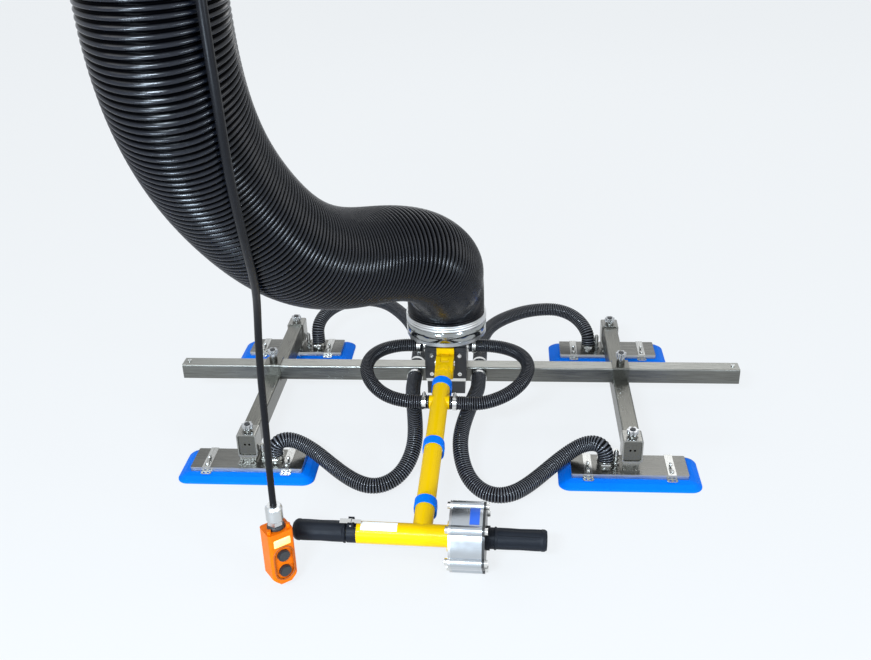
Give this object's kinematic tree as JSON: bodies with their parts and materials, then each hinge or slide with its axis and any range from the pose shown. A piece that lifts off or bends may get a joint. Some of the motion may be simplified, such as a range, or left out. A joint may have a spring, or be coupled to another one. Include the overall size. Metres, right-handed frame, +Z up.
{
  "type": "panel suction lifter",
  "caption": "Beam gripper with suction pads on sliding cross-arms, hung on a ribbed vacuum lift tube, with a tilting control handle and a hanging push-button pendant.",
  "frame": {"origin": "on the floor under the middle of the outline, the cable left out", "axes": "+X along the main beam to the right, +Y away from the control handle, +Z up"},
  "size_m": [1.385, 1.4512, 1.454],
  "materials": {
    "steel": "brushed",
    "aluminium": "satin",
    "black": "satin",
    "yellow": "gloss",
    "hose": "satin",
    "blue_rubber": "matte",
    "grip": "matte",
    "orange": "gloss",
    "black_plastic": "matte",
    "fastener": "bright"
  },
  "bodies": {
    "frame": {"main_beam": "steel", "beam_end_plugs": "steel", "beam_clamp": "black", "clamp_plates": "steel", "head_block": "black", "head_cover": "black", "head_screws": "fastener", "pivot_bracket": "yellow", "pivot_pin": "fastener", "hose_fittings": "aluminium", "head_hub": "black", "hose_front_left": "hose", "hose_front_right": "hose", "hose_rear_left": "hose", "hose_rear_right": "hose", "loop_hose_left": "hose", "loop_hose_right": "hose"},
    "left_arm": {"left_arm": "steel"},
    "right_arm": {"right_arm": "steel"},
    "left_arm_knob": {"left_arm_knob": "black_plastic"},
    "right_arm_knob": {"right_arm_knob": "black_plastic"},
    "lift_tube": {"tube_collar": "aluminium", "lift_tube": "hose", "top_collar": "aluminium", "pendant_cable": "hose", "pendant_gland": "aluminium", "pendant_front": "orange", "pendant_back": "orange"},
    "button_up": {"button_up": "black_plastic"},
    "button_down": {"button_down": "black_plastic"},
    "top_swivel": {"top_swivel": "aluminium", "hanging_eye": "steel"},
    "handle": {"handle_frame": "yellow", "strapped_line": "blue_rubber", "left_grip": "grip", "valve_housing": "aluminium", "valve_plates": "black", "handle_fasteners": "fastener"},
    "thumb_lever": {"thumb_lever": "aluminium"},
    "twist_grip": {"twist_grip": "grip"},
    "front_left_pad": {"front_left_holder": "steel", "front_left_cover": "steel", "front_left_lip": "blue_rubber", "front_left_fittings": "fastener"},
    "front_left_knob": {"front_left_knob": "black_plastic"},
    "front_right_pad": {"front_right_holder": "steel", "front_right_cover": "steel", "front_right_lip": "blue_rubber", "front_right_fittings": "fastener"},
    "front_right_knob": {"front_right_knob": "black_plastic"},
    "rear_left_pad": {"rear_left_holder": "steel", "rear_left_cover": "steel", "rear_left_lip": "blue_rubber", "rear_left_fittings": "fastener"},
    "rear_left_knob": {"rear_left_knob": "black_plastic"},
    "rear_right_pad": {"rear_right_holder": "steel", "rear_right_cover": "steel", "rear_right_lip": "blue_rubber", "rear_right_fittings": "fastener"},
    "rear_right_knob": {"rear_right_knob": "black_plastic"}
  },
  "joints": [
    {"name": "left_arm_slide", "type": "slide", "parent": "frame", "child": "left_arm", "axis": [1, 0, 0], "range_m": [-0.18, 0.15], "deforming": ["hose_front_left", "hose_rear_left"]},
    {"name": "right_arm_slide", "type": "slide", "parent": "frame", "child": "right_arm", "axis": [1, 0, 0], "range_m": [-0.13, 0.2], "deforming": ["hose_front_right", "hose_rear_right"]},
    {"name": "left_arm_knob_turn", "type": "hinge", "parent": "left_arm", "child": "left_arm_knob", "pos_m": [-0.461, 0.31544, 0.1425], "axis": [0, 0, 1], "continuous": true},
    {"name": "right_arm_knob_turn", "type": "hinge", "parent": "right_arm", "child": "right_arm_knob", "pos_m": [0.406, 0.31544, 0.1425], "axis": [0, 0, 1], "continuous": true},
    {"name": "front_left_pad_slide", "type": "slide", "parent": "left_arm", "child": "front_left_pad", "axis": [0, 1, 0], "range_m": [0, 0.15], "deforming": ["hose_front_left"]},
    {"name": "front_left_knob_turn", "type": "hinge", "parent": "front_left_pad", "child": "front_left_knob", "pos_m": [-0.461, 0.03044, 0.1065], "axis": [0, 0, 1], "continuous": true},
    {"name": "front_right_pad_slide", "type": "slide", "parent": "right_arm", "child": "front_right_pad", "axis": [0, 1, 0], "range_m": [0, 0.15], "deforming": ["hose_front_right"]},
    {"name": "front_right_knob_turn", "type": "hinge", "parent": "front_right_pad", "child": "front_right_knob", "pos_m": [0.406, 0.03044, 0.1065], "axis": [0, 0, 1], "continuous": true},
    {"name": "rear_left_pad_slide", "type": "slide", "parent": "left_arm", "child": "rear_left_pad", "axis": [0, -1, 0], "range_m": [0, 0.15], "deforming": ["hose_rear_left"]},
    {"name": "rear_left_knob_turn", "type": "hinge", "parent": "rear_left_pad", "child": "rear_left_knob", "pos_m": [-0.461, 0.60044, 0.1065], "axis": [0, 0, 1], "continuous": true},
    {"name": "rear_right_pad_slide", "type": "slide", "parent": "right_arm", "child": "rear_right_pad", "axis": [0, -1, 0], "range_m": [0, 0.15], "deforming": ["hose_rear_right"]},
    {"name": "rear_right_knob_turn", "type": "hinge", "parent": "rear_right_pad", "child": "rear_right_knob", "pos_m": [0.406, 0.60044, 0.1065], "axis": [0, 0, 1], "continuous": true},
    {"name": "lift_tube_swivel", "type": "hinge", "parent": "frame", "child": "lift_tube", "pos_m": [-0.021, 0.31544, 0.222], "axis": [0, 0, 1], "continuous": true},
    {"name": "button_up_press", "type": "slide", "parent": "lift_tube", "child": "button_up", "axis": [-0.6157, 0.788, 0], "range_m": [0, 0.003], "stiffness_N_per_m": 400},
    {"name": "button_down_press", "type": "slide", "parent": "lift_tube", "child": "button_down", "axis": [-0.6157, 0.788, 0], "range_m": [0, 0.003], "stiffness_N_per_m": 400},
    {"name": "top_swivel_turn", "type": "hinge", "parent": "lift_tube", "child": "top_swivel", "pos_m": [-0.301, -0.62956, 1.29], "axis": [0, 0, 1], "continuous": true},
    {"name": "handle_tilt", "type": "hinge", "parent": "frame", "child": "handle", "pos_m": [-0.021, 0.23344, 0.175], "axis": [-1, 0, 0], "range_deg": [0, 38], "deforming": ["loop_hose_left", "loop_hose_right"]},
    {"name": "twist_grip_turn", "type": "hinge", "parent": "handle", "child": "twist_grip", "pos_m": [0.0891, -0.2959, 0.06966], "axis": [0.9995, -0.0308, -0.0061], "range_deg": [-35, 35], "stiffness_Nm_per_rad": 0.6},
    {"name": "thumb_lever_rock", "type": "hinge", "parent": "handle", "child": "thumb_lever", "pos_m": [-0.17577, -0.2934, 0.09972], "axis": [0.0314, 0.9803, 0.1951], "range_deg": [-6, 6], "stiffness_Nm_per_rad": 0.3}
  ]
}
